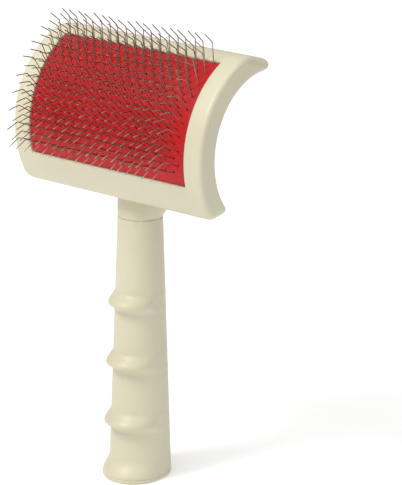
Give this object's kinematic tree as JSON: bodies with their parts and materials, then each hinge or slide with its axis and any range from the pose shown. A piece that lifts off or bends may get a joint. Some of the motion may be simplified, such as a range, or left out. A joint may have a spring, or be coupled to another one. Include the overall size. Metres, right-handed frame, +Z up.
{
  "type": "slicker brush",
  "caption": "Hand grooming brush: a curved head holds a cushioned red pad of bent wire pins, on a hollow handle with finger ridges.",
  "frame": {"origin": "centre of the flat butt face, on the axis of the handle", "axes": "+Z runs up the handle to the head, -Y is the side the pins point to, +X runs along the width of the head"},
  "size_m": [0.1, 0.0549, 0.1896],
  "materials": {
    "cream_plastic": "moulded, satin gloss",
    "red_rubber": "smooth red rubber, slightly dusty",
    "canvas": "plain woven cotton",
    "sponge": "open sponge rubber",
    "pin_wire": "drawn hard steel wire"
  },
  "bodies": {
    "brush": {"head_shell": "cream_plastic", "handle": "cream_plastic", "butt_cap": "cream_plastic", "pad_cushion": "sponge", "foundation_ply_inner": "canvas", "foundation_ply_outer": "canvas", "pad_rubber_face": "red_rubber"},
    "pin_row_01": {"pin_row_01": "pin_wire"},
    "pin_row_02": {"pin_row_02": "pin_wire"},
    "pin_row_03": {"pin_row_03": "pin_wire"},
    "pin_row_04": {"pin_row_04": "pin_wire"},
    "pin_row_05": {"pin_row_05": "pin_wire"},
    "pin_row_06": {"pin_row_06": "pin_wire"},
    "pin_row_07": {"pin_row_07": "pin_wire"},
    "pin_row_08": {"pin_row_08": "pin_wire"},
    "pin_row_09": {"pin_row_09": "pin_wire"},
    "pin_row_10": {"pin_row_10": "pin_wire"},
    "pin_row_11": {"pin_row_11": "pin_wire"},
    "pin_row_12": {"pin_row_12": "pin_wire"},
    "pin_row_13": {"pin_row_13": "pin_wire"},
    "pin_row_14": {"pin_row_14": "pin_wire"},
    "pin_row_15": {"pin_row_15": "pin_wire"},
    "pin_row_16": {"pin_row_16": "pin_wire"},
    "pin_row_17": {"pin_row_17": "pin_wire"},
    "pin_row_18": {"pin_row_18": "pin_wire"}
  },
  "joints": [
    {"name": "pin_flex_01", "type": "hinge", "parent": "brush", "child": "pin_row_01", "pos_m": [0, -0.01885, 0.13733], "axis": [1, 0, 0], "range_deg": [-4, 4], "stiffness_Nm_per_rad": 0.05},
    {"name": "pin_flex_02", "type": "hinge", "parent": "brush", "child": "pin_row_02", "pos_m": [0, -0.01912, 0.13999], "axis": [1, 0, 0], "range_deg": [-4, 4], "stiffness_Nm_per_rad": 0.05},
    {"name": "pin_flex_03", "type": "hinge", "parent": "brush", "child": "pin_row_03", "pos_m": [0, -0.0192, 0.14266], "axis": [1, 0, 0], "range_deg": [-4, 4], "stiffness_Nm_per_rad": 0.05},
    {"name": "pin_flex_04", "type": "hinge", "parent": "brush", "child": "pin_row_04", "pos_m": [0, -0.0191, 0.14533], "axis": [1, 0, 0], "range_deg": [-4, 4], "stiffness_Nm_per_rad": 0.05},
    {"name": "pin_flex_05", "type": "hinge", "parent": "brush", "child": "pin_row_05", "pos_m": [0, -0.0188, 0.14799], "axis": [1, 0, 0], "range_deg": [-4, 4], "stiffness_Nm_per_rad": 0.05},
    {"name": "pin_flex_06", "type": "hinge", "parent": "brush", "child": "pin_row_06", "pos_m": [0, -0.01833, 0.15062], "axis": [1, 0, 0], "range_deg": [-4, 4], "stiffness_Nm_per_rad": 0.05},
    {"name": "pin_flex_07", "type": "hinge", "parent": "brush", "child": "pin_row_07", "pos_m": [0, -0.01767, 0.15321], "axis": [1, 0, 0], "range_deg": [-4, 4], "stiffness_Nm_per_rad": 0.05},
    {"name": "pin_flex_08", "type": "hinge", "parent": "brush", "child": "pin_row_08", "pos_m": [0, -0.01682, 0.15574], "axis": [1, 0, 0], "range_deg": [-4, 4], "stiffness_Nm_per_rad": 0.05},
    {"name": "pin_flex_09", "type": "hinge", "parent": "brush", "child": "pin_row_09", "pos_m": [0, -0.01581, 0.15821], "axis": [1, 0, 0], "range_deg": [-4, 4], "stiffness_Nm_per_rad": 0.05},
    {"name": "pin_flex_10", "type": "hinge", "parent": "brush", "child": "pin_row_10", "pos_m": [0, -0.01462, 0.16061], "axis": [1, 0, 0], "range_deg": [-4, 4], "stiffness_Nm_per_rad": 0.05},
    {"name": "pin_flex_11", "type": "hinge", "parent": "brush", "child": "pin_row_11", "pos_m": [0, -0.01327, 0.16292], "axis": [1, 0, 0], "range_deg": [-4, 4], "stiffness_Nm_per_rad": 0.05},
    {"name": "pin_flex_12", "type": "hinge", "parent": "brush", "child": "pin_row_12", "pos_m": [0, -0.01176, 0.16512], "axis": [1, 0, 0], "range_deg": [-4, 4], "stiffness_Nm_per_rad": 0.05},
    {"name": "pin_flex_13", "type": "hinge", "parent": "brush", "child": "pin_row_13", "pos_m": [0, -0.0101, 0.16721], "axis": [1, 0, 0], "range_deg": [-4, 4], "stiffness_Nm_per_rad": 0.05},
    {"name": "pin_flex_14", "type": "hinge", "parent": "brush", "child": "pin_row_14", "pos_m": [0, -0.00829, 0.16919], "axis": [1, 0, 0], "range_deg": [-4, 4], "stiffness_Nm_per_rad": 0.05},
    {"name": "pin_flex_15", "type": "hinge", "parent": "brush", "child": "pin_row_15", "pos_m": [0, -0.00636, 0.17103], "axis": [1, 0, 0], "range_deg": [-4, 4], "stiffness_Nm_per_rad": 0.05},
    {"name": "pin_flex_16", "type": "hinge", "parent": "brush", "child": "pin_row_16", "pos_m": [0, -0.00429, 0.17273], "axis": [1, 0, 0], "range_deg": [-4, 4], "stiffness_Nm_per_rad": 0.05},
    {"name": "pin_flex_17", "type": "hinge", "parent": "brush", "child": "pin_row_17", "pos_m": [0, -0.00212, 0.17428], "axis": [1, 0, 0], "range_deg": [-4, 4], "stiffness_Nm_per_rad": 0.05},
    {"name": "pin_flex_18", "type": "hinge", "parent": "brush", "child": "pin_row_18", "pos_m": [0, 0.00016, 0.17567], "axis": [1, 0, 0], "range_deg": [-4, 4], "stiffness_Nm_per_rad": 0.05}
  ]
}
